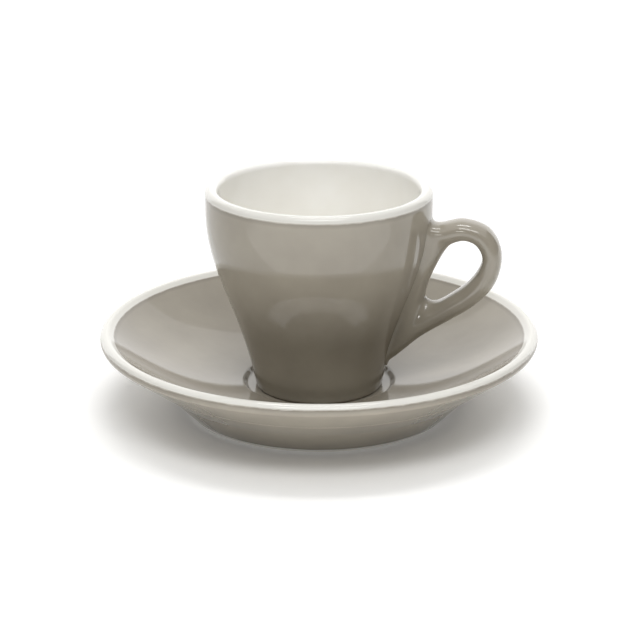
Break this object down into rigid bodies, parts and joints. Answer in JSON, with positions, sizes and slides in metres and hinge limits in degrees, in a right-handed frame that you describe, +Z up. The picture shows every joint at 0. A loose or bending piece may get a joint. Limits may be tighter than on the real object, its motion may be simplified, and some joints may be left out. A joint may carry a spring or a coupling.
{
  "type": "espresso cup with saucer",
  "caption": "Small flared porcelain espresso cup with a ring handle, grey outside and white inside, standing in the well of its matching saucer.",
  "frame": {"origin": "middle of the saucer's foot ring, on the surface it stands on", "axes": "+Z up along the common axis of cup and saucer, +X from that axis towards the handle"},
  "size_m": [0.12, 0.12, 0.0621],
  "materials": {
    "white_porcelain": "gloss clear glaze on white porcelain",
    "grey_glaze": "gloss warm grey glaze"
  },
  "bodies": {
    "saucer": {"saucer_body": "white_porcelain", "saucer_top_glaze": "grey_glaze", "saucer_under_glaze": "grey_glaze"},
    "cup": {"cup_body": "white_porcelain", "cup_glaze": "grey_glaze", "cup_handle": "grey_glaze"}
  },
  "joints": [
    {"name": "cup_lift", "type": "slide", "parent": "saucer", "child": "cup", "axis": [0, 0, 1], "range_m": [0, 0.08]}
  ]
}
